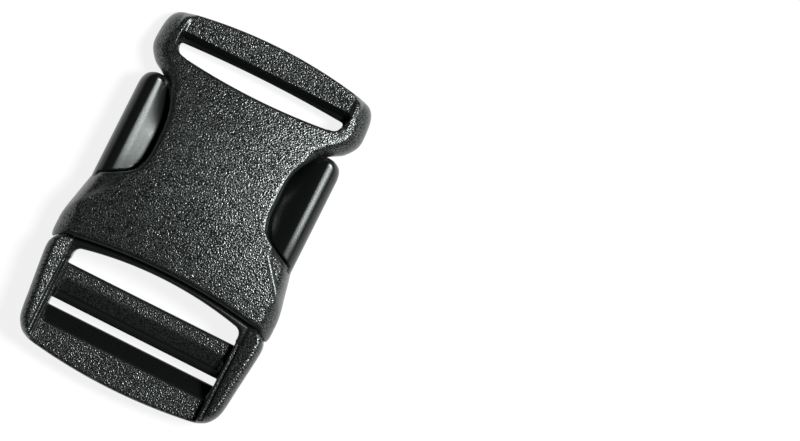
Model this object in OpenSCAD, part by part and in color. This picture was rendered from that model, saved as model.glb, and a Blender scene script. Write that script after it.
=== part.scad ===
// Side release buckle for 25 mm webbing, shown fastened. The socket takes a sewn loop of webbing on its
// one bar, and the plug has two bars that grip an adjustable strap. The origin is below the middle of
// the buckle, on its flat underside. +Y points to the socket's bar and +Z up.

/* [Overall] */
// Length from the socket's bar to the plug's end bar
overall_l = 53.5; // [53:0.25:55]
// Width across the socket's shoulders, the widest place
overall_w = 34.1; // [33.9:0.1:34.6]
// Thickness at the crown of the socket's panel
overall_h = 9.2; // [9:0.1:10]

/* [Webbing slots] */
// Length of the plug's slots, for 25 mm webbing with 1 mm to spare
slot_l = 26; // [25.6:0.1:26.2]
// Length of the socket's slot
socket_slot_l = 25.5; // [25.2:0.1:25.8]
// Opening of the socket's slot at its middle
socket_slot_h = 2.85; // [2.5:0.05:3.2]
// Opening of the plug's wide slot at its middle
wide_slot_h = 3.9; // [3.6:0.1:4]
// Opening of the plug's thin slot
thin_slot_h = 1.15; // [0.9:0.05:1.4]

/* [Bars] */
// Depth of the socket's bar, along the buckle
socket_bar_d = 5.1; // [4.8:0.1:5.4]
// Depth of the plug's middle bar
mid_bar_d = 5.3; // [5:0.1:5.5]
// Depth of the plug's end bar
end_bar_d = 6.8; // [6.5:0.1:7]
// Height of the bars' undersides above the ground, where the webbing passes
bar_lift = 1.3; // [1:0.1:1.6]

/* [Socket] */
// Width of the panel at its waist, between the windows
waist_w = 19; // [18.6:0.1:19.4]
// Width across the ears beside the socket's slot
ear_w = 32.6; // [32.2:0.1:33]
// Thickness of the wall above the cavity
roof_wall = 2; // [1.8:0.1:2.2]
// Thickness of the wall below the cavity
floor_wall = 1.9; // [1.7:0.1:2.1]
// Slope of the finger scoops below the windows, in degrees
scoop_slope = 22; // [16:1:28]

/* [Plug] */
// Height of the ridge along each finger pad
pad_ridge_h = 7.6; // [7.2:0.1:7.8]
// Width across the finger pads
pad_w = 30.9; // [30.5:0.1:31]
// Thickness of each side arm
arm_t = 2.1; // [1.8:0.1:2.3]
// Width of the guide tongue between the arms
tongue_w = 14; // [13:0.5:14.5]
// Gap between the plug and the socket where their ends meet
seam = 0.12; // [0.1:0.01:0.16]
// Gap round each finger pad in its window
window_gap = 0.3; // [0.25:0.05:0.35]

/* [Hidden] */
$fn = 240;

far = 40;                         // well past the outline on every side
end_y = overall_l / 2;
end_arc_r = 70;                   // plan radius of the socket bar's outer edge
plug_end_arc_r = 80;              // plan radius of the plug's outer edge

// The panel's crown, a barrel that falls away towards the ears and the sides
crown_y = -1.5;
crown_len_r = 127;
crown_side_r = 140;

// Socket, from its bar down to its mouth
slot_top_y = end_y - socket_bar_d;
slot_low_y = slot_top_y - socket_slot_h;
slot_top_r = 200;
slot_low_r = 95;
slot_end_r = 1.45;
slot_end_y = slot_top_y - 0.75;
ear_x = ear_w / 2;
ear_top_r = 2.3;
ear_top_y = end_y - 3.55;
ear_low_r = 1.6;
ear_low_y = slot_top_y - 1.55;
ear_tip = [13.7, slot_top_y - 5.25];
ear_round_r = 2.2;
ear_top_z = 6.5;
ear_rise = 25;                    // slope of the ears' tops up to the crown
recess_x = 13.15;                 // inner faces of the ears, beside the lower bar
socket_bar_z = 5.2;

waist_x = waist_w / 2;
window_top_r = 8.1;
window_top_y = slot_top_y - 12.2;
window_low_r = 7.2;
window_low_y = window_top_y - 3.5;
latch_in = [10.8, window_low_y - 4.05];      // window's lower edge, from the panel
latch_out = [15.45, window_low_y - 6.4];     // to the buckle's side
latch_slope = (latch_out.y - latch_in.y) / (latch_out.x - latch_in.x);

shoulder_x = overall_w / 2;
shoulder_y = latch_out.y - 7.75;
shoulder_r = 2.6;
shoulder_top_z = 7.9;
shoulder_angle = atan((shoulder_x - latch_out.x) / (latch_out.y - shoulder_y));
shoulder_rise = 20;               // slope of the shoulders' tops up to the crown, in degrees
crease_low = [12, latch_out.y];
crease_high = [16.6, latch_out.y - 5.85];
crease_z = overall_h - 0.62;
crease_fall = 3;                  // the crease follows the crown down to the side, in degrees
crease_lead = 2;                  // it starts this far up the waist
low_round_r = 0.9;

// The mouth, and the plug's rails that close it
plug_end_y = -overall_l / 2;
thin_low_y = plug_end_y + end_bar_d;
thin_top_y = thin_low_y + thin_slot_h;
wide_low_y = thin_top_y + mid_bar_d;
wide_top_y = wide_low_y + wide_slot_h;
mouth_y = wide_top_y + 0.8;
mouth_r = 80;
rail_top_r = 2.6;
rail_top_c = [shoulder_x - 0.17 - rail_top_r, wide_low_y + 0.75];
mouth_tip_y = rail_top_c.y + 1.35;

cavity_x = 14.1;                  // the cavity's side walls, inside the shoulders
cavity_top_y = slot_low_y - 3;

// Plug
slot_x = slot_l / 2;
arch_r = 55;
arch_corner_r = 1.3;
ledge_x = slot_x + 0.85;
ledge_drop = 0.6;
rail_h = 7.6;                     // at the seam
rail_slope = 7.8;                 // fall of the rails towards the end bar, in degrees
rail_round_r = 2.4;
rail_rise = 9;                    // slope of their tops towards the slots
mid_bar_z = 6;                    // tops of the bars
end_bar_z = 5.3;
bar_edge = 0.4;                   // cut off the bars' edges
bar_lap = 0.2;                    // the bars reach this far into the rails
collar_drop = 0.5;                // top of the cross bar below the panel's crown
rail_end_r = 2.75;
rail_end_c = [slot_x + 0.1, plug_end_y + 4];
rail_taper = atan((rail_top_c.x + rail_top_r - rail_end_c.x - rail_end_r) / (rail_top_c.y - rail_end_c.y));
nose_x = cavity_x - 0.4;
nose_y = mouth_y + 1.3;
nose_top_z = overall_h - roof_wall - 1.1;
inner_low_z = floor_wall + 0.35;
arm_x = 10.8;
arm_top_z = overall_h - 3;
tongue_end_y = cavity_top_y - 2.6;
tongue_top_z = overall_h - 3.4;
tongue_end_r = 2;

pad_x = pad_w / 2;
pad_round_r = 1.9;
pad_low_z = 0.9;
pad_ridge_x = pad_x - pad_round_r;
pad_inner_x = waist_x - 0.5;
pad_inner_z = 5.3;
pad_tip_r = 2.2;
pad_tip_y = window_top_y + 4.35;
arm_lap = 0.5;                    // the arms reach this far into the pads

// Half-plane above the line through a with this slope
module above(a, slope)
    polygon([a - far * [1, slope], a + far * [1, slope], [far, 2 * far], [-far, 2 * far]]);

module disc(c, r) translate(c) circle(r);

module box2(a, b) translate(a) square(b - a);

module both_sides() {
    children();
    mirror([1, 0, 0]) children();
}

// Profiles drawn as y and z, or as x and z, run across or along the buckle
module across(w) rotate([90, 0, 90]) linear_extrude(w, center = true) children();

module along(y0, y1) translate([0, y1, 0]) rotate([90, 0, 0]) linear_extrude(y1 - y0) children();

// Section through a rounded side: 0 is the silhouette, and the top climbs inward from height z
module side_section(z, r, r_low, rise) {
    tangent = [r * sin(rise) - r, z - r + r * cos(rise)];
    polygon([[-far, 0], [-r_low, 0], [-r_low, r_low], [0, r_low], [0, z - r], [-r, z - r], tangent,
             tangent + far * [-cos(rise), sin(rise)]]);
    disc([-r, z - r], r);
    disc([-r_low, r_low], r_low);
}

// Everything inside a rounded side whose silhouette passes p, turned by angle from the Y axis
module side_form(p, angle, z, r, rise, fall = 0) {
    translate([p.x, p.y, 0]) rotate([0, 0, angle]) rotate([fall, 0, 0])
        along(-far, far) side_section(z, r, low_round_r, rise);
}

// The room between a left and a right rounded side
module between_sides(p, angle, z, r, rise) {
    intersection() {
        side_form(p, angle, z, r, rise);
        mirror([1, 0, 0]) side_form(p, angle, z, r, rise);
    }
}

// The barrel under the panel's crown, lowered by drop
module crown(drop) {
    axis_z = overall_h - drop - crown_side_r;
    translate([0, crown_y, axis_z]) rotate([-90, 0, 0]) rotate_extrude($fn = 720)
        intersection() {
            disc([crown_side_r - crown_len_r, 0], crown_len_r);
            box2([crown_side_r - far, -far], [crown_side_r + 1, far]);
        }
}

// Plan of a window beside the waist, taken in by gap
module window_plan(gap) {
    intersection() {
        union() {
            disc([waist_x + window_top_r, window_top_y], window_top_r - gap);
            disc([waist_x + window_low_r, window_low_y], window_low_r - gap);
            box2([waist_x + gap, window_low_y], [far / 2, window_top_y]);
        }
        above(latch_in + [0, gap / 2], latch_slope);
    }
}

// Plan of the socket's webbing slot
module socket_slot_plan() {
    slot_end_x = socket_slot_l / 2 - slot_end_r;
    intersection() {
        disc([0, slot_top_y - slot_top_r], slot_top_r);
        disc([0, slot_low_y + slot_low_r], slot_low_r);
        union() {
            box2([-slot_end_x, slot_low_y - 1], [slot_end_x, slot_top_y + 1]);
            both_sides() disc([slot_end_x, slot_end_y], slot_end_r);
        }
    }
}

// Plan of the bar and the two ears
module head_plan() {
    intersection() {
        disc([0, end_y - end_arc_r], end_arc_r);
        both_sides() union() {
            polygon([[0, window_low_y], [ear_tip.x, window_low_y], ear_tip, [ear_x - 0.4, ear_low_y - 1.1],
                     [ear_x, ear_low_y], [ear_x, ear_top_y], [ear_x - ear_top_r, ear_top_y],
                     [ear_x - ear_top_r, end_y], [0, end_y]]);
            disc([ear_x - ear_top_r, ear_top_y], ear_top_r);
            disc([ear_x - ear_low_r, ear_low_y], ear_low_r);
        }
    }
}

// Plan of the panel from the mouth to the ears
module panel_plan() {
    difference() {
        both_sides() polygon([[0, mouth_y - 2], [rail_top_c.x, mouth_tip_y - 0.8],
                              [shoulder_x - 0.5, mouth_tip_y], [shoulder_x - 0.12, mouth_tip_y + 0.4],
                              [shoulder_x, mouth_tip_y + 1.1], [shoulder_x, shoulder_y], latch_out,
                              [latch_out.x, window_top_y], [0, window_top_y]]);
        disc([0, mouth_y - mouth_r], mouth_r);
        both_sides() disc(rail_top_c, rail_top_r + seam);
    }
}

// Side section of the room above the socket's lower bar
module bar_recess_section() {
    polygon([[slot_end_y, socket_bar_z - 1.8], [slot_top_y, socket_bar_z - 1.5],
             [slot_top_y + 0.9, socket_bar_z - 0.1], [slot_top_y + 1.4, socket_bar_z],
             [end_y - 0.7, socket_bar_z - 0.2], [end_y, socket_bar_z - 0.8],
             [far, socket_bar_z - 0.8], [far, far], [slot_end_y, far]]);
}

// Wedge above a finger scoop, from the crease out past the side
module scoop() {
    run = crease_high - crease_low;
    past = 8;
    translate([crease_low.x, crease_low.y, crease_z])
        rotate([0, 0, atan2(run.y, run.x) + 90]) rotate([crease_fall, 0, 0])
            along(-norm(run) - past, crease_lead)
                polygon([[0, 0], [past, -past * tan(scoop_slope)], [past, past], [0, past]]);
}

// The room inside the socket, open at the mouth and at the windows
module cavity() {
    intersection() {
        translate([0, 0, floor_wall]) linear_extrude(overall_h) both_sides()
            polygon([[0, mouth_y - far / 4], [cavity_x, mouth_y - far / 4], [cavity_x, window_low_y],
                     [waist_x, cavity_top_y], [0, cavity_top_y]]);
        crown(roof_wall);
    }
}

module socket() {
    color([0.13, 0.14, 0.14]) difference() {
        intersection() {
            union() {
                intersection() {
                    linear_extrude(overall_h + 1) head_plan();
                    between_sides([ear_x, ear_low_y], 0, ear_top_z, ear_round_r, ear_rise);
                }
                intersection() {
                    linear_extrude(overall_h + 1) panel_plan();
                    between_sides([shoulder_x, shoulder_y], 0, shoulder_top_z, shoulder_r, shoulder_rise);
                    between_sides([shoulder_x, shoulder_y], shoulder_angle, shoulder_top_z, shoulder_r,
                                  shoulder_rise);
                }
            }
            crown(0);
        }
        both_sides() scoop();
        both_sides() translate([0, 0, -1]) linear_extrude(far) window_plan(0);
        translate([0, 0, -1]) linear_extrude(far) socket_slot_plan();
        across(2 * recess_x) bar_recess_section();
        across(2 * recess_x) box2([slot_end_y, -1], [far, bar_lift]);
        cavity();
    }
}

// Plan of the plug's wide slot, arched above
module wide_slot_plan() {
    corner = [slot_x - arch_corner_r, wide_top_y - 2.6];
    intersection() {
        disc([0, wide_top_y - arch_r], arch_r);
        union() {
            box2([-corner.x, wide_low_y], [corner.x, wide_top_y + 1]);
            box2([-slot_x, wide_low_y], [slot_x, corner.y]);
            both_sides() disc(corner, arch_corner_r);
        }
    }
}

module thin_slot_plan() box2([-slot_x, thin_low_y], [slot_x, thin_top_y]);

// Plan of the plug's frame
module frame_plan() {
    intersection() {
        disc([0, plug_end_y + plug_end_arc_r], plug_end_arc_r);
        both_sides() union() {
            polygon([[0, plug_end_y], [rail_end_c.x, plug_end_y], rail_end_c,
                     [rail_end_c.x + rail_end_r, rail_end_c.y], [rail_top_c.x + rail_top_r, rail_top_c.y],
                     rail_top_c, [0, rail_top_c.y]]);
            disc(rail_end_c, rail_end_r);
            disc(rail_top_c, rail_top_r);
        }
    }
}

// One rail beyond x, with its top lowered by drop
module rail(x, drop) {
    intersection() {
        linear_extrude(overall_h) intersection() {
            frame_plan();
            box2([x, plug_end_y - 1], [far, mouth_y]);
        }
        side_form([rail_top_c.x + rail_top_r, rail_top_c.y], -rail_taper, rail_h - drop, rail_round_r,
                  rail_rise, rail_slope);
    }
}

// Side sections of the plug's bars, sloping into the thin slot
module bars_section() {
    polygon([[thin_top_y, bar_lift + bar_edge], [thin_top_y + bar_edge, bar_lift],
             [wide_low_y - bar_edge, bar_lift], [wide_low_y, bar_lift + bar_edge],
             [wide_low_y, mid_bar_z - bar_edge], [wide_low_y - bar_edge, mid_bar_z],
             [thin_top_y + 1.6, mid_bar_z - 0.2], [thin_top_y, mid_bar_z - 1.8]]);
    polygon([[thin_low_y - bar_edge, 0], [thin_low_y, bar_edge], [thin_low_y, bar_lift + 1],
             [thin_low_y - 2.5, end_bar_z], [plug_end_y + low_round_r, end_bar_z - bar_edge],
             [plug_end_y, end_bar_z - bar_edge - low_round_r], [plug_end_y, low_round_r],
             [plug_end_y + low_round_r, 0]]);
}

// The cross bar between the wide slot and the mouth, nearly flush with the socket
module collar() {
    intersection() {
        linear_extrude(overall_h) intersection() {
            disc([0, mouth_y - mouth_r], mouth_r - seam);
            box2([-rail_top_c.x, rail_top_c.y], [rail_top_c.x, mouth_y]);
        }
        crown(collar_drop);
    }
}

// The block behind the collar, which fills the socket's mouth
module nose() {
    translate([0, 0, inner_low_z]) linear_extrude(nose_top_z - inner_low_z) difference() {
        box2([-nose_x, rail_top_c.y], [nose_x, nose_y]);
        wide_slot_plan();
    }
}

module tongue() {
    x = tongue_w / 2;
    translate([0, 0, inner_low_z]) linear_extrude(tongue_top_z - inner_low_z) {
        box2([-x, nose_y - 1], [x, tongue_end_y - tongue_end_r]);
        box2([tongue_end_r - x, 0], [x - tongue_end_r, tongue_end_y]);
        both_sides() disc([x - tongue_end_r, tongue_end_y - tongue_end_r], tongue_end_r);
    }
}

module arm() {
    translate([arm_x, nose_y - 1, inner_low_z])
        cube([arm_t, latch_in.y + arm_lap - nose_y + 1, arm_top_z - inner_low_z]);
}

// Section across a finger pad, the same above and below its middle
module pad_section() {
    mid = (pad_ridge_h + pad_low_z) / 2;
    high = pad_ridge_h - pad_round_r;
    low = pad_low_z + pad_round_r;
    inner_low = 2 * mid - pad_inner_z;
    polygon([[pad_inner_x, inner_low], [pad_ridge_x, pad_low_z], [pad_ridge_x, low], [pad_x, low],
             [pad_x, high], [pad_ridge_x, high], [pad_ridge_x, pad_ridge_h], [pad_inner_x, pad_inner_z]]);
    disc([pad_ridge_x, high], pad_round_r);
    disc([pad_ridge_x, low], pad_round_r);
}

module pad() {
    intersection() {
        linear_extrude(overall_h) intersection() {
            window_plan(window_gap);
            union() {
                box2([0, -far], [pad_x, pad_tip_y]);
                box2([0, 0], [pad_x - pad_tip_r, far]);
                disc([pad_x - pad_tip_r, pad_tip_y], pad_tip_r);
            }
        }
        along(-far / 4, far / 2) pad_section();
    }
}

module plug() {
    color([0.12, 0.13, 0.13]) {
        difference() {
            union() {
                both_sides() {
                    rail(ledge_x, 0);
                    rail(slot_x, ledge_drop);
                }
                intersection() {
                    linear_extrude(overall_h) frame_plan();
                    across(2 * (slot_x + bar_lap)) bars_section();
                }
                collar();
            }
            translate([0, 0, -1]) linear_extrude(far) {
                wide_slot_plan();
                thin_slot_plan();
            }
        }
        nose();
        tongue();
        both_sides() {
            arm();
            pad();
        }
    }
}

socket();
plug();
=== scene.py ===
"""Side release buckle, fastened, on a white table.

Each of its two plastic mouldings is one mesh, drawn from a distance field: plans and profiles are met,
cut and joined with the radii of a real moulding. Sizes are in millimetres in the CAD frame. Plans hold
the right half, and the two fields mirror it.
"""

import math

import bpy
import numpy as np
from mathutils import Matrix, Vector


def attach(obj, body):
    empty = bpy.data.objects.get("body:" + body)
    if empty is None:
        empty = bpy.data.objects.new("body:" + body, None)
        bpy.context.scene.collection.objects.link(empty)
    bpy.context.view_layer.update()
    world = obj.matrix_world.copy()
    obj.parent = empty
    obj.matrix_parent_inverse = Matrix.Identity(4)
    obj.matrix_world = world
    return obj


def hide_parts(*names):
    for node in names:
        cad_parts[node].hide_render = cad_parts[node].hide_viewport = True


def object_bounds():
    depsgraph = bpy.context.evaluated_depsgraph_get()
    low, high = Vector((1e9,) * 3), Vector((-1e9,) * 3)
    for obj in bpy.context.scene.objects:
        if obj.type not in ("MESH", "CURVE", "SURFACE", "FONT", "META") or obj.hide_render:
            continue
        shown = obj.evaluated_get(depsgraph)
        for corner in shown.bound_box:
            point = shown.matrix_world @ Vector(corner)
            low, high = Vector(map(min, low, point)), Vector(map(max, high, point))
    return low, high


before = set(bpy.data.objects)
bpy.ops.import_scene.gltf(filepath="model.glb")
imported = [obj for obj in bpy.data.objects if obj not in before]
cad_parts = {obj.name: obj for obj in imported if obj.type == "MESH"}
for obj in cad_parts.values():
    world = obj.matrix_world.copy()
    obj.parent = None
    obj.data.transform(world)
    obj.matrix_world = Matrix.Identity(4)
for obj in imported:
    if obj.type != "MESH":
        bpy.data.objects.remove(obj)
cad_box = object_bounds()

MM = 0.001
VOXEL = 0.22
SOCKET_ROOM = ((-17.6, -12.1, -0.6), (17.6, 27.3, 9.8))
PLUG_ROOM = ((-17.6, -27.3, -0.6), (17.6, 16.6, 9.3))

# Plans and profiles end here, past all that shows
FAR = 40
PAST_MIDDLE = -9

# Overall
END_Y = cad_box[1][1] / MM
TOP_Z = 9.1
CROWN_Y = -2.2
CROWN_LENGTH_R = 112
CROWN_SIDE_R = 140

# Socket. Three numbers are a disc's x, y and radius in a plan, but for the creases' ends: those are places
BAR_ARC_R = 70
SLOT_TOP_Y = 21.65
SLOT_LOW_Y = 18.8
SLOT_TOP_R = 200
SLOT_LOW_R = 95
SLOT_END_X = 11.3
SLOT_END_Y = 20.9
SLOT_END_R = 1.45
RECESS_X = 13.15
RECESS_R = 0.5
BAR_Z = 5.2
BAR_LIFT = 1.3
ROOF_WALL = 2
FLOOR_WALL = 1.9
CAVITY_X = 14.1
CAVITY_Y = 15.8
WAIST_X = 9.5
WINDOW_TOP = (17.6, 9.45, 8.1)
WINDOW_LOW = (16.7, 5.95, 7.2)
LATCH_IN = (10.8, 1.9)
LATCH_OUT = (15.45, -0.45)
CREASE_IN = (12.0, -0.45, 8.58)
CREASE_OUT = (16.6, -6.3, 8.2)
SCOOP_SLOPE = 27
SCOOP_FADE = 0.12
BEAD_HEIGHT = 0.08
BEAD_WIDTH = 0.25
MOUTH_Y = -8.8
MOUTH_R = 80
RAIL_TOP = (14.28, -12.75, 2.6)
SEAM = 0.12
SEAM_LEAN = 0.035
SEAM_TOP_Z = 8

# The walls round over in quarters of ellipses, which these values make narrower than they are high
SIDE_R = 4.2
EAR_STEEP = 1.5
SCOOP_STEEP = 2.7
CORNER_STEEP = 1.4
BAR_END_STEEP = 5.5
LATCH_STEEP = 2.7
RAIL_STEEP = 1.9

# Plug
SLOT_X = 13.0
WIDE_LOW_Y = -13.5
WIDE_TOP_Y = -9.6
ARCH_R = 55
ARCH_CORNER_R = 1.3
THIN_TOP_Y = -18.8
THIN_LOW_Y = -19.95
LEDGE_X = 13.85
LEDGE_DROP = 0.6
LEDGE_FALL = 0.2
COLLAR_DROP = 0.5
MID_BAR_Z = 6.0
END_BAR_Z = 5.3
BAR_EDGE_R = 0.12
BAR_FILLET_R = 0.8
BAR_REACH = 0.2
CREST = (14.4, 7.7)
CREST_FALL = 1
CREST_TILT = -6
PAD_X = 15.85
PAD_MID_Z = 4.25
PAD_SIDE_SLOPE = 37
PAD_RIDGE_X = 13.5
PAD_RIDGE_Z = 7.2
PAD_RIDGE_OUT_X = 14.0
PAD_CROWN_Y = 3.0
PAD_FALL = 0.035
PAD_CROWN_R = 2
PAD_DIP = 0.33
PAD_HOLLOW = 0.0009
PAD_HOLLOW_Y = 7
PAD_DISH_SCALE = 0.94
PAD_TIP_Y = 16.0
PAD_TIP_R = 2.6
PAD_SIDE_R = 1.4
PAD_RIDGE_R = 0.6
PAD_ROOT_REACH = 1.2
PAD_ROOT_Z = 1.9
WINDOW_GAP = 0.3

# The plug's hidden parts. Nose and tongue give their side's x, their end's y and their top's z
NOSE = (13.7, -7.5, 6.1)
TONGUE = (7.0, 13.2, 5.8)
TONGUE_R = 2
ARM_X = (10.8, 12.9)
ARM_Y = (NOSE[1] - 1, LATCH_IN[1] + 0.8)
ARM_Z = 6.2
INNER_LOW_Z = 2.25

# Radii of small edges, from the sharpest to the softest
HAIR_R = 0.1
THIN_R = 0.15
FINE_R = 0.2
CALM_R = 0.25
EDGE_R = 0.3
SOFT_R = 0.4
FULL_R = 0.5
ROUND_R = 0.8
UNDER_R = 0.9

# Radii of a wall's rims: at its top, at the underside, and where it meets the walls beside it
SIDE_RIM = (SIDE_R, UNDER_R)
BAR_RIM = (SOFT_R, SOFT_R, FINE_R)
WINDOW_RIM = (0.95, 0.6, EDGE_R)
MOUTH_RIM = (1.05, FULL_R, CALM_R)
SLOT_RIM = (0.35, 0.35, FINE_R)
RAIL_RIM = (2.6, UNDER_R, EDGE_R)
RAIL_SEAM_RIM = (SOFT_R, FULL_R, 0.12)
CROSS_RIM = (FULL_R, 0.7, HAIR_R)
COLLAR_RIM = (FULL_R, FULL_R)
COLLAR_SLOT_RIM = (0.45, SOFT_R, HAIR_R)

# The rims all meet in the underside's one plane, and together they lift it by this much
SETTLE = 0.13


# Distances are negative inside. meet, cut and join leave an edge or a corner rounded to radius r.


def meet(a, b, r=0.0):
    if r == 0:
        return np.maximum(a, b)
    return np.minimum(np.maximum(a, b), -r) + np.hypot(np.maximum(a + r, 0), np.maximum(b + r, 0))


def cut(a, b, r=0.0):
    return meet(a, -b, r)


def join(a, b, r=0.0):
    return -meet(-a, -b, r)


def disc(x, y, circle):
    cx, cy, r = circle
    return np.hypot(x - cx, y - cy) - r


def box(x, y, x0, x1, y0, y1):
    dx = np.abs(x - (x0 + x1) / 2) - (x1 - x0) / 2
    dy = np.abs(y - (y0 + y1) / 2) - (y1 - y0) / 2
    return np.hypot(np.maximum(dx, 0), np.maximum(dy, 0)) + np.minimum(np.maximum(dx, dy), 0)


def left_of(x, y, a, b):
    """Distance to the line from a to b, negative on its left"""
    ux, uy = b[0] - a[0], b[1] - a[1]
    return ((x - a[0]) * uy - (y - a[1]) * ux) / math.hypot(ux, uy)


def polygon(x, y, points):
    """Signed distance to a closed outline"""
    x, y = np.broadcast_arrays(x, y)
    nearest = np.full(x.shape, np.inf)
    inside = np.zeros(x.shape, bool)
    for (ax, ay), (bx, by) in zip(points, points[1:] + points[:1]):
        ux, uy = bx - ax, by - ay
        t = np.clip(((x - ax) * ux + (y - ay) * uy) / (ux * ux + uy * uy), 0, 1)
        nearest = np.minimum(nearest, (x - ax - t * ux) ** 2 + (y - ay - t * uy) ** 2)
        if uy != 0:
            crosses = (ay > y) != (by > y)
            inside ^= crosses & (x < ax + (y - ay) / uy * ux)
    return np.where(inside, -1, 1) * np.sqrt(nearest)


def curve(points, steps=5):
    """A smooth line through the points"""
    p = np.array(points, float)
    p = np.vstack([2 * p[0] - p[1], p, 2 * p[-1] - p[-2]])
    t = np.linspace(0, 1, steps, endpoint=False)[:, None]
    line = [
        b + 0.5 * t * (c - a + t * (2 * a - 5 * b + 4 * c - d + t * (3 * (b - c) + d - a)))
        for a, b, c, d in zip(p, p[1:], p[2:], p[3:])
    ]
    return [tuple(q) for q in np.vstack(line + [p[-2:-1]])]


def smoothstep(low, high, v):
    """0 at low and 1 at high, with a smooth rise between, or a fall where low is the greater"""
    t = np.clip((v - low) / (high - low), 0, 1)
    return t * t * (3 - 2 * t)


def bell(v, width):
    return np.exp(-((v / width) ** 2))


def wall(plan, top, z, r_top, r_low):
    """What lies inside a plan and under a top, with both rims rounded"""
    return meet(meet(plan, top, r_top), -z, r_low)


def trim(body, plan, top, z, rim):
    """A body kept inside one more wall"""
    r_top, r_low, r_side = rim
    return meet(body, wall(plan, top, z, r_top, r_low), r_side)


# The socket's outline runs down its ear, waist and shoulder. The plug's runs down its rail and round its end.


SOCKET_SIDE = (
    [(PAST_MIDDLE, FAR), (12.3, FAR), (12.4, 26.6)]
    + curve([(12.9, 25.75), (13.5, 25.45), (14.25, 25.27), (14.95, 24.93), (15.5, 24.42), (15.87, 23.75),
             (16.1, 22.9), (16.22, 21.9), (16.3, 20.6), (16.24, 19.6), (16.0, 18.85), (15.5, 18.05),
             (14.95, 17.4), (14.35, 16.8), (13.6, 16.2)])
    + [(12.4, 15.0), (11.9, 12), (12.4, 8), (14.2, 3)]
    + curve([(15.1, 0.8), (15.5, -0.65), (15.95, -2.5), (16.38, -4.5), (16.75, -6.1), (17.0, -7.7),
             (17.04, -9.2), (17.02, -10.3), (16.85, -11.0), (16.5, -11.42)])
    + [(15.5, -12.2), (14, -30), (PAST_MIDDLE, -30)]
)

END_ARC_R = 80
PLUG_SIDE = (
    [(PAST_MIDDLE, 20), (15, 20), (15.9, -9.6)]
    + curve([(16.45, -10.4), (16.75, -11.1), (16.87, -11.9), (16.87, -12.7), (16.8, -13.7), (16.6, -15.6),
             (16.38, -17.6), (16.16, -19.6), (15.96, -21.6), (15.72, -23.0), (15.3, -23.95),
             (14.6, -24.85), (13.7, -25.4), (12.7, -25.72), (11, -25.99)]
            + [(x, -END_Y + x * x / (2 * END_ARC_R)) for x in (8, 4, 0, -4, -8)])
)

# Profiles of the three bars, as (y, z)
RECESS_PROFILE = [
    (20.2, 12), (20.9, 3.4), (SLOT_TOP_Y + 0.35, 3.75), (22.8, BAR_Z), (26.3, BAR_Z - 0.2),
    (FAR, 4.2), (FAR, 12),
]
MIDDLE_BAR = [
    (THIN_TOP_Y, 1.7), (THIN_TOP_Y + 0.4, BAR_LIFT), (WIDE_LOW_Y - 0.4, BAR_LIFT), (WIDE_LOW_Y, 1.7),
    (WIDE_LOW_Y, 5.6), (WIDE_LOW_Y - 0.15, 5.87), (WIDE_LOW_Y - 0.4, MID_BAR_Z), (-17.35, MID_BAR_Z - 1.4),
    (-17.75, 4.45), (-18.55, 3.87), (THIN_TOP_Y, 3.75),
]
END_BAR = [
    (THIN_LOW_Y - 0.4, 0), (THIN_LOW_Y, 0.4), (THIN_LOW_Y, 2.2), (-20.15, 2.55), (-22.2, 5.1),
    (-22.5, END_BAR_Z), (-FAR, END_BAR_Z - 0.1), (-FAR, 0),
]


def crown(x, y, z, drop=0.0):
    """Distance above the barrel of the panel's crown"""
    along = CROWN_SIDE_R - CROWN_LENGTH_R + np.sqrt(CROWN_LENGTH_R**2 - (y - CROWN_Y) ** 2)
    return np.hypot(x, z - TOP_Z + drop + CROWN_SIDE_R) - along


def window(x, y, gap=0.0):
    """Plan of the window beside the waist, taken in by gap"""
    sides = np.minimum(disc(x, y, WINDOW_TOP), disc(x, y, WINDOW_LOW)) + gap
    sides = np.minimum(sides, box(x, y, WAIST_X + gap, FAR, WINDOW_LOW[1], WINDOW_TOP[1]))
    return meet(sides, left_of(x, y, LATCH_IN, LATCH_OUT) + gap / 2, FULL_R)


def mouth(x, y, gap=0.0):
    """Plan of the plug's end of the buckle, past the seam"""
    arc = np.maximum(disc(x, y, (0, MOUTH_Y - MOUTH_R, MOUTH_R)), x - RAIL_TOP[0])
    rail = np.minimum(disc(x, y, RAIL_TOP), y - RAIL_TOP[1]) - SEAM
    return np.minimum(arc, rail) + gap


def lean(z):
    """How far the seam leans towards the socket below its top"""
    return SEAM_LEAN * (SEAM_TOP_Z - z)


def socket_slot(x, y):
    ends = np.minimum(box(x, y, -SLOT_END_X, SLOT_END_X, SLOT_LOW_Y - 1, SLOT_TOP_Y + 1),
                      disc(x, y, (SLOT_END_X, SLOT_END_Y, SLOT_END_R)))
    top = disc(x, y, (0, SLOT_TOP_Y - SLOT_TOP_R, SLOT_TOP_R))
    low = disc(x, y, (0, SLOT_LOW_Y + SLOT_LOW_R, SLOT_LOW_R))
    return meet(meet(ends, top, EDGE_R), low, EDGE_R)


def cavity(x, y, z):
    """The room inside the socket"""
    plan = polygon(x, y, [(PAST_MIDDLE, -30), (CAVITY_X, -30), (CAVITY_X, WINDOW_LOW[1]), (WAIST_X, CAVITY_Y),
                          (PAST_MIDDLE, CAVITY_Y)])
    return meet(meet(plan, crown(x, y, z, ROOF_WALL), EDGE_R), FLOOR_WALL - z, EDGE_R)


def crease(x, y):
    """How far a place is past the scoop's crease, on the outside, and how far along it"""
    run = np.subtract(CREASE_OUT, CREASE_IN)[:2]
    past = left_of(x, y, CREASE_OUT, CREASE_IN)
    return past, ((x - CREASE_IN[0]) * run[0] + (y - CREASE_IN[1]) * run[1]) / np.hypot(*run)


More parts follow.
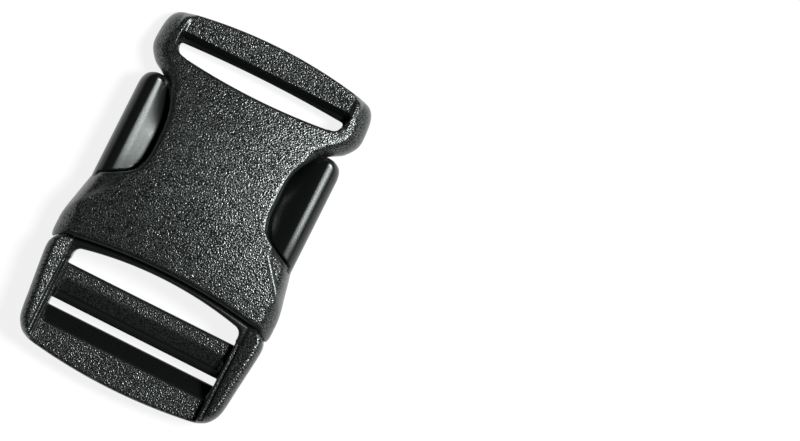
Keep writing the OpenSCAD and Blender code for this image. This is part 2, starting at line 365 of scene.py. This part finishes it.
def panel_top(x, y, z):
    """Distance above the crown and the scoops, with a low raised line along each crease"""
    past, along = crease(x, y)
    run = np.subtract(CREASE_OUT, CREASE_IN)
    height = CREASE_IN[2] + along / np.hypot(run[0], run[1]) * run[2]
    height = height + SCOOP_FADE * np.maximum(-along, 0) ** 2
    slope = math.radians(SCOOP_SLOPE)
    scoop = (z - height) * math.cos(slope) + past * math.sin(slope)
    bead = BEAD_HEIGHT * bell(past, BEAD_WIDTH) * smoothstep(-1, 1, along)
    return meet(crown(x, y, z), scoop, THIN_R) - bead


def side_steepness(x, y):
    """How steeply the socket's side rounds over, from the bar's end and the ear down to the lower corner"""
    at_scoop = smoothstep(4, 1, y)
    at_corner = smoothstep(-4.5, -7.5, y)
    at_bar_end = smoothstep(14.3, 13.3, x) * smoothstep(22, 25, y)
    steep = EAR_STEEP + (SCOOP_STEEP - EAR_STEEP) * at_scoop + (CORNER_STEEP - SCOOP_STEEP) * at_corner
    return steep + (BAR_END_STEEP - EAR_STEEP) * at_bar_end


def socket(x, y, z):
    """Distance field of the socket"""
    x = np.abs(x)
    z = z + SETTLE * smoothstep(1, 0, z)
    top = panel_top(x, y, z)
    body = wall(side_steepness(x, y) * polygon(x, y, SOCKET_SIDE), top, z, *SIDE_RIM)

    recess = meet(x - RECESS_X, polygon(y, z, RECESS_PROFILE), RECESS_R)
    top = cut(top, recess, EDGE_R)
    body = cut(body, recess, EDGE_R)

    body = trim(body, disc(x, y, (0, END_Y - BAR_ARC_R, BAR_ARC_R)), top, z, BAR_RIM)
    steep = 1 + (LATCH_STEEP - 1) * smoothstep(3.0, 1.5, y)
    body = trim(body, -window(x, y) * steep, top, z, WINDOW_RIM)
    body = trim(body, -mouth(x, y - lean(z)), top, z, MOUTH_RIM)
    body = trim(body, -socket_slot(x, y), top, z, SLOT_RIM)
    under_bar = meet(meet(x - RECESS_X, SLOT_END_Y - y, EDGE_R), z - BAR_LIFT, EDGE_R)
    return cut(cut(body, under_bar, EDGE_R), cavity(x, y, z), CALM_R)


def wide_slot(x, y):
    """Plan of the slot under the arch, whose upper corners are discs that touch the arch from inside"""
    arch = (0, WIDE_TOP_Y - ARCH_R, ARCH_R)
    corner_x = SLOT_X - ARCH_CORNER_R
    corner_y = arch[1] + math.sqrt((ARCH_R - ARCH_CORNER_R) ** 2 - corner_x**2)
    low_y = WIDE_LOW_Y - 4
    room = np.minimum(box(x, y, -corner_x, corner_x, low_y, WIDE_TOP_Y + 1),
                      box(x, y, -SLOT_X, SLOT_X, low_y, corner_y))
    room = np.minimum(room, disc(x, y, (corner_x, corner_y, ARCH_CORNER_R)))
    return meet(room, disc(x, y, arch))


def bars(x, y, z):
    """The plug's two bars, which rise in a fillet to the rails"""
    r = BAR_FILLET_R
    lift = r - np.sqrt(r * r - np.clip(x - SLOT_X + r, 0, r - 0.001) ** 2)
    z = z - lift * smoothstep(3, 5, z)
    end_x = x - SLOT_X - BAR_REACH
    middle = meet(polygon(y, z, MIDDLE_BAR) + BAR_EDGE_R, end_x) - BAR_EDGE_R
    return np.minimum(middle, meet(polygon(y, z, END_BAR), end_x))


def rail_crest(x, y, z):
    """Distance above the rails' tops, which fall towards the end and tilt to the middle"""
    fall, tilt = math.radians(CREST_FALL), math.radians(CREST_TILT)
    crest_x, crest_z = CREST
    above = (z - crest_z) * math.cos(fall) - (y - RAIL_TOP[1]) * math.sin(fall)
    return above + (x - crest_x) * math.sin(tilt)


def plug_frame(x, y, z):
    """The rails, the bars and the collar that closes the socket's mouth"""
    outline = polygon(x, y, PLUG_SIDE)
    past_seam = mouth(x, y - lean(z), SEAM)
    crest = rail_crest(x, y, z)
    ledge = meet(crest + LEDGE_DROP + LEDGE_FALL * (x - SLOT_X), x - LEDGE_X - FULL_R)
    step = meet(crest, LEDGE_X - x, EDGE_R)
    rails = meet(join(ledge, step, THIN_R), SLOT_X - x, CALM_R)
    rails = trim(rails, RAIL_STEEP * outline, crest, z, RAIL_RIM)
    rails = trim(rails, past_seam, crest, z, RAIL_SEAM_RIM)
    rails = cut(rails, wide_slot(x, y), FINE_R)

    collar_top = crown(x, y, z, COLLAR_DROP)
    collar = wall(past_seam, collar_top, z, *COLLAR_RIM)
    collar = trim(collar, -wide_slot(x, y), collar_top, z, COLLAR_SLOT_RIM)
    collar = meet(meet(collar, x - RAIL_TOP[0]), RAIL_TOP[1] - y)
    cross = trim(bars(x, y, z), outline, z - END_BAR_Z, z, CROSS_RIM)
    return join(join(rails, collar, EDGE_R), cross, HAIR_R / 2)


def pad(x, y, z):
    """A finger pad: a ridge along its bowed outer side, and a dish that dips in under the panel"""
    z = np.abs(z - PAD_MID_Z)
    bow = PAD_FALL * (np.hypot(y - PAD_CROWN_Y, PAD_CROWN_R) - PAD_CROWN_R)
    above = z - (PAD_RIDGE_Z - PAD_MID_Z - bow)
    inward = np.maximum(PAD_RIDGE_X - x, 0)
    dip = PAD_DIP * inward + PAD_HOLLOW * np.maximum(y - PAD_HOLLOW_Y, 0) ** 2 * inward**3
    slope = math.radians(PAD_SIDE_SLOPE)
    side = (x - PAD_RIDGE_OUT_X) * math.sin(slope) + above * math.cos(slope)
    side = meet(side, x - PAD_X, PAD_SIDE_R)
    body = meet(meet(side, above, PAD_RIDGE_R), (above + dip) * PAD_DISH_SCALE, SOFT_R)
    body = meet(body, meet(x - PAD_X, y - PAD_TIP_Y, PAD_TIP_R), UNDER_R)
    root = meet(window(x, y, -PAD_ROOT_REACH), z - PAD_ROOT_Z)
    return meet(body, join(window(x, y, WINDOW_GAP), root, FINE_R), CALM_R)


def slab(plan, top_z, z, r):
    """A flat part inside the socket, between its underside and top_z"""
    return meet(meet(plan, z - top_z, r), INNER_LOW_Z - z, r)


def plug(x, y, z):
    """Distance field of the plug"""
    x = np.abs(x)
    nose = slab(meet(x - NOSE[0], y - NOSE[1], ROUND_R), NOSE[2], z, SOFT_R)
    nose = meet(meet(nose, RAIL_TOP[1] - y), -wide_slot(x, y), FINE_R)
    tongue = slab(meet(x - TONGUE[0], y - TONGUE[1], TONGUE_R), TONGUE[2], z, FULL_R)
    tongue = meet(tongue, ARM_Y[0] - y)
    arm = slab(box(x, y, *ARM_X, *ARM_Y), ARM_Z, z, SOFT_R)
    inner = join(join(nose, tongue, ROUND_R), arm, ROUND_R)
    return join(np.minimum(plug_frame(x, y, z), inner), pad(x, y, z), EDGE_R)


# The meshes


PULLS = 3
LEAST_SLOPE = 0.3


def gradient(field, p, h=0.02):
    """The field's slope at points p, from four corners of a small tetrahedron"""
    total = 0
    for corner in ((1, -1, -1), (-1, -1, 1), (-1, 1, -1), (1, 1, 1)):
        k = np.array(corner)
        total = total + k * field(*(p + h * k).T)[:, None]
    return total / (4 * h)


def crossings(f, k):
    """Where the surface crosses the grid's edges along axis k, and the four cells round each such edge"""
    inside = f < 0
    a = tuple(slice(None, -1) if i == k else slice(1, -1) for i in range(3))
    b = tuple(slice(1, None) if i == k else slice(1, -1) for i in range(3))
    at = np.argwhere(inside[a] != inside[b]) + np.array([0 if i == k else 1 for i in range(3)])
    start = f[tuple(at.T)]
    end = f[tuple((at + (np.arange(3) == k)).T)]
    place = at.astype(float)
    place[:, k] += start / (start - end)
    cells = []
    for di, dj in ((0, 0), (-1, 0), (-1, -1), (0, -1)):
        cell = at.copy()
        cell[:, (k + 1) % 3] += di
        cell[:, (k + 2) % 3] += dj
        cells.append(np.ravel_multi_index(tuple(cell.T), f.shape))
    quads = np.stack(cells, 1)
    turned = ~inside[tuple(at.T)]
    quads[turned] = quads[turned][:, ::-1]
    return place, cells, quads


def surface(field, low, high):
    """Points and quads of the field's zero surface

    Each cell that the surface crosses has one point, which is then pulled onto the surface.
    """
    axes = [np.arange(a, b + VOXEL, VOXEL) for a, b in zip(low, high)]
    f = field(axes[0][:, None, None], axes[1][None, :, None], axes[2][None, None, :])
    places = np.zeros((f.size, 3))
    hits = np.zeros(f.size)
    quads = []
    for k in range(3):
        place, cells, around = crossings(f, k)
        for cell in cells:
            np.add.at(hits, cell, 1)
            np.add.at(places, cell, place)
        quads.append(around)
    used, quads = np.unique(np.vstack(quads), return_inverse=True)
    points = np.array(low) + places[used] / hits[used][:, None] * VOXEL
    for _ in range(PULLS):
        slope = gradient(field, points)
        step = field(*points.T)[:, None] * slope / np.maximum((slope**2).sum(1), LEAST_SLOPE)[:, None]
        points = points - np.clip(step, -VOXEL / 2, VOXEL / 2)
    points[:, 2] = np.maximum(points[:, 2], 0)
    return points, quads.reshape(-1, 4)


def link(name, data, place=(0, 0, 0)):
    made = bpy.data.objects.new(name, data)
    made.location = place
    bpy.context.collection.objects.link(made)
    return made


def moulding(name, field, room, marks):
    """A mesh of a distance field, with its exact normals and with marks for the material at each point"""
    points, quads = surface(field, *room)
    slope = gradient(field, points)
    normals = slope / np.linalg.norm(slope, axis=1)[:, None]
    mesh = bpy.data.meshes.new(name)
    mesh.vertices.add(len(points))
    mesh.vertices.foreach_set("co", (points * MM).ravel())
    mesh.loops.add(quads.size)
    mesh.loops.foreach_set("vertex_index", quads.ravel().astype(np.int32))
    mesh.polygons.add(len(quads))
    mesh.polygons.foreach_set("loop_start", np.arange(0, quads.size, 4, dtype=np.int32))
    mesh.update(calc_edges=True)
    mesh.polygons.foreach_set("use_smooth", np.ones(len(quads), bool))
    mesh.normals_split_custom_set_from_vertices([tuple(n) for n in normals])
    for key, values in marks(np.abs(points[:, 0]), points[:, 1], normals[:, 2]).items():
        mesh.attributes.new(key, "FLOAT", "POINT").data.foreach_set("value", values.astype(np.float32))
    mesh.validate()
    made = link(name, mesh)
    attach(made, "root")
    return made


def facing(up):
    """Full grain on what faces up, half of it on the sides and none underneath"""
    return (0.5 + 0.5 * smoothstep(0.2, 0.8, up)) * smoothstep(-0.8, -0.4, up)


def socket_marks(x, y, up):
    """The panel, the bar and the ears are grained, every rim is smooth, and a pale highlight is painted along
    each crease's bead
    """
    past, along = crease(x, y)
    grain = facing(up) * smoothstep(0.35, 0.75, window(x, y)) * smoothstep(0.4, 0.9, mouth(x, y))
    grain = grain * smoothstep(0.1, 0.35, socket_slot(x, y))
    beside_recess = smoothstep(12.5, 12.8, x) * smoothstep(13.5, 13.2, x)
    beside_recess = beside_recess * smoothstep(18.5, 19.5, y) * smoothstep(26.2, 25.8, y)
    grain = grain * (1 - 0.65 * beside_recess) * (1 - 0.75 * bell(past, 0.3) * smoothstep(1.0, -0.5, y))
    bar_slope = smoothstep(22.75, 22.95, y) + smoothstep(21.7, 21.5, y)
    grain = grain * np.where(x < RECESS_X, bar_slope, 1)
    # A pale highlight painted along each crease's raised bead, on what faces up, fading in from the crease's
    # inner end
    painted_crease_highlight = bell(past, BEAD_WIDTH) * smoothstep(0, 3.36, along) * smoothstep(0.2, 0.6, up)
    return {"grain": grain, "painted_crease_highlight": painted_crease_highlight}


def plug_marks(x, y, up):
    """The rails, their ledges and two bands along the bars are grained"""
    middle_band = smoothstep(-13.85, -14.05, y) * smoothstep(-17.5, -17.3, y)
    middle_band = middle_band * (1 - 0.3 * smoothstep(-14.2, -16.5, y))
    end_band = smoothstep(-22.4, -22.6, y)
    bands = (middle_band + end_band) * smoothstep(12.9, 12.6, x)
    below_seam = smoothstep(-10.4, -10.9, y)
    rail = 0.88 * smoothstep(13.9, 14.15, x)
    ledge = 0.5 * smoothstep(13.1, 13.3, x) * smoothstep(LEDGE_X, LEDGE_X - 0.15, x)
    rim = smoothstep(1.2, 0.6, -polygon(x, y, PLUG_SIDE))
    grain = facing(up) * np.clip(bands + (rail + ledge + rim) * below_seam, 0, 1)
    # The plug has no painted crease highlight
    return {"grain": grain, "painted_crease_highlight": np.zeros(len(x))}


# Materials. Texture scales are in cells per metre, and heights in millimetres.

PEBBLE_SCALE = 5100.0
PEBBLE_HEIGHT = 0.055
CELL_SCALE = 3900.0
CELL_DEPTH = -0.027
SATIN_SCALE = 15000.0
SATIN_HEIGHT = 0.0025
BLOTCH_SCALE = 350.0
CREST_LEVELS = (0.4, 0.62)
CREST_SHINE = 0.9
PIT_SHINE = 0.11
SMOOTH_SHINE = 0.4
# How much PALE is painted into the base colour: as a highlight along the creases' beads, and as glints on the
# grain's crests
CREASE_HIGHLIGHT_PAINT = 0.045
CREST_GLINT_PAINT = 0.015
PALE = (0.92, 1.0, 0.98, 1)
ROUGHNESS = 0.24
BLOTCH_ROUGHNESS = 0.08
SOCKET_BLACK = (0.0045, 0.0050, 0.0050, 1)
PLUG_BLACK = (0.0042, 0.0047, 0.0045, 1)


class Nodes:
    """Short calls for building a material's node tree"""

    def __init__(self, name):
        self.material = bpy.data.materials.new(name)
        self.material.use_nodes = True
        self.tree = self.material.node_tree
        self.shader = self.tree.nodes["Principled BSDF"]

    def add(self, kind, inputs=None, **settings):
        node = self.tree.nodes.new("ShaderNode" + kind)
        for key, value in settings.items():
            setattr(node, key, value)
        for key, value in (inputs or {}).items():
            self.set(node.inputs[key], value)
        return node

    def set(self, socket_in, value):
        if isinstance(value, bpy.types.NodeSocket):
            self.tree.links.new(value, socket_in)
        else:
            socket_in.default_value = value

    def dress(self, **values):
        """Set the shader's own sockets, named with _ for each space"""
        for key, value in values.items():
            self.set(self.shader.inputs[key.replace("_", " ")], value)

    def math(self, operation, *values):
        node = self.add("Math", operation=operation)
        for slot_in, value in zip(node.inputs, values):
            self.set(slot_in, value)
        return node.outputs[0]


def plastic(name, black, seed):
    """Black moulded plastic, with a coarse grain where the mesh says so and fine satin elsewhere. Pale
    highlights are painted into its colour on the grain's crests and along the creases' beads
    """
    n = Nodes(name)
    place = n.add("TexCoord").outputs["Object"]
    moved = n.add("VectorMath", {0: place, 1: (seed, seed * 0.7, 0)}, operation="ADD").outputs[0]
    grain = n.add("Attribute", attribute_name="grain").outputs["Fac"]
    # The mesh's mark for the pale highlight painted along the creases
    painted_crease_highlight = n.add("Attribute", attribute_name="painted_crease_highlight").outputs["Fac"]

    pebbles = n.add("TexNoise", {"Vector": moved, "Scale": PEBBLE_SCALE, "Detail": 0.0}).outputs["Fac"]
    cells = n.add("TexVoronoi", {"Vector": moved, "Scale": CELL_SCALE}, feature="SMOOTH_F1")
    cells = cells.outputs["Distance"]
    satin = n.add("TexNoise", {"Vector": moved, "Scale": SATIN_SCALE, "Detail": 1.0}).outputs["Fac"]
    height = n.math("MULTIPLY_ADD", pebbles, PEBBLE_HEIGHT, n.math("MULTIPLY", cells, CELL_DEPTH))
    height = n.math("MULTIPLY_ADD", height, grain, n.math("MULTIPLY", satin, SATIN_HEIGHT))
    n.dress(Normal=n.add("Bump", {"Height": height, "Distance": MM, "Strength": 1.0}).outputs["Normal"])

    # The grain's crests shine and its pits do not
    low, high = CREST_LEVELS
    crest = n.add("MapRange", {"Value": pebbles, "From Min": low, "From Max": high}).outputs["Result"]
    glint = n.math("MULTIPLY", crest, grain)
    shine = n.math("MULTIPLY_ADD", grain, PIT_SHINE - SMOOTH_SHINE, SMOOTH_SHINE)
    n.dress(Specular_IOR_Level=n.math("MULTIPLY_ADD", glint, CREST_SHINE, shine), Specular_Tint=PALE)

    # Highlights painted into the base colour: pale along the creases' beads, and pale glints on the grain's
    # crests
    painted_highlight = n.math("MULTIPLY_ADD", painted_crease_highlight, CREASE_HIGHLIGHT_PAINT, n.math("MULTIPLY", glint, CREST_GLINT_PAINT))
    base = n.add("Mix", {0: painted_highlight}, data_type="RGBA")
    n.set(base.inputs[6], black)
    n.set(base.inputs[7], PALE)
    n.dress(Base_Color=base.outputs[2])

    blotch = n.add("TexNoise", {"Vector": moved, "Scale": BLOTCH_SCALE, "Detail": 3.0}).outputs["Fac"]
    n.dress(Roughness=n.math("MULTIPLY_ADD", blotch, BLOTCH_ROUGHNESS, ROUGHNESS))
    return n.material


for name, field, room, marks, black, seed in (
    ("socket", socket, SOCKET_ROOM, socket_marks, SOCKET_BLACK, 0.0),
    ("plug", plug, PLUG_ROOM, plug_marks, PLUG_BLACK, 0.37),
):
    piece = moulding(name + "_moulding", field, room, marks)
    piece.data.materials.append(plastic(name + "_plastic", black, seed))
    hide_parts(name)


# The table and the light, in metres

TABLE_HALF = 3
TABLE_GREY = (0.12, 0.12, 0.12, 1)
TABLE_GLOW = 0.86
SKY_LOW = 0.6
SKY_HIGH = 0.001
SKY_TOP_Z = 0.6
WHITE = (1, 1, 1, 1)
LIGHT_ASIDE = 0.438
LIGHT_Z = 0.729
LIGHT_SIZE = 0.2
LIGHT_POWER = 11

# The photograph shows the buckle left of its middle, turned by TURN, from straight above
TURN = math.radians(26.7)
RIGHT = Vector((math.cos(TURN), math.sin(TURN), 0))
UP = Vector((-math.sin(TURN), math.cos(TURN), 0))
PIXELS_PER_MM = 7.115
IMAGE_SIZE = (800, 441)
ORIGIN_PIXEL = (194.4, 218.0)
CAMERA_Z = 1.6
SHARP_Z = 0.003
SENSOR = 36


def white_table():
    mesh = bpy.data.meshes.new("table")
    corners = [(-TABLE_HALF, -TABLE_HALF, 0), (TABLE_HALF, -TABLE_HALF, 0),
               (TABLE_HALF, TABLE_HALF, 0), (-TABLE_HALF, TABLE_HALF, 0)]
    mesh.from_pydata(corners, [], [(0, 1, 2, 3)])
    n = Nodes("white_table")
    n.dress(Base_Color=TABLE_GREY, Roughness=0.9, Specular_IOR_Level=0.1)
    n.dress(Emission_Color=WHITE, Emission_Strength=TABLE_GLOW)
    mesh.materials.append(n.material)
    link("table", mesh)


def studio():
    """A world that is pale near the table and dark overhead"""
    world = bpy.data.worlds.new("studio")
    world.use_nodes = True
    tree = world.node_tree
    height = tree.nodes.new("ShaderNodeSeparateXYZ")
    tree.links.new(tree.nodes.new("ShaderNodeTexCoord").outputs["Generated"], height.inputs[0])
    fade = tree.nodes.new("ShaderNodeMapRange")
    fade.interpolation_type = "SMOOTHSTEP"
    tree.links.new(height.outputs["Z"], fade.inputs["Value"])
    fade.inputs["From Min"].default_value = 0
    fade.inputs["From Max"].default_value = SKY_TOP_Z
    fade.inputs["To Min"].default_value = SKY_LOW
    fade.inputs["To Max"].default_value = SKY_HIGH
    background = tree.nodes["Background"]
    background.inputs["Color"].default_value = WHITE
    tree.links.new(fade.outputs["Result"], background.inputs["Strength"])
    bpy.context.scene.world = world


def softbox():
    """The one light, from the photograph's right"""
    lamp = bpy.data.lights.new("softbox", "AREA")
    lamp.shape = "RECTANGLE"
    lamp.size, lamp.size_y = LIGHT_SIZE, LIGHT_SIZE
    lamp.energy = LIGHT_POWER
    made = link("softbox", lamp, RIGHT * LIGHT_ASIDE + Vector((0, 0, LIGHT_Z)))
    made.rotation_euler = (-made.location).to_track_quat("-Z", "Y").to_euler()


def photo_camera():
    across = (IMAGE_SIZE[0] / 2 - ORIGIN_PIXEL[0]) / PIXELS_PER_MM * MM
    upward = (ORIGIN_PIXEL[1] - IMAGE_SIZE[1] / 2) / PIXELS_PER_MM * MM
    lens = bpy.data.cameras.new("camera")
    lens.sensor_width = SENSOR
    lens.lens = SENSOR * (CAMERA_Z - SHARP_Z) / (IMAGE_SIZE[0] / PIXELS_PER_MM * MM)
    lens.clip_start = 0.01
    camera = link("camera", lens, RIGHT * across + UP * upward + Vector((0, 0, CAMERA_Z)))
    camera.rotation_euler = (0, 0, TURN)
    bpy.context.scene.camera = camera


white_table()
studio()
photo_camera()
softbox()
bpy.context.scene.view_settings.view_transform = "Standard"
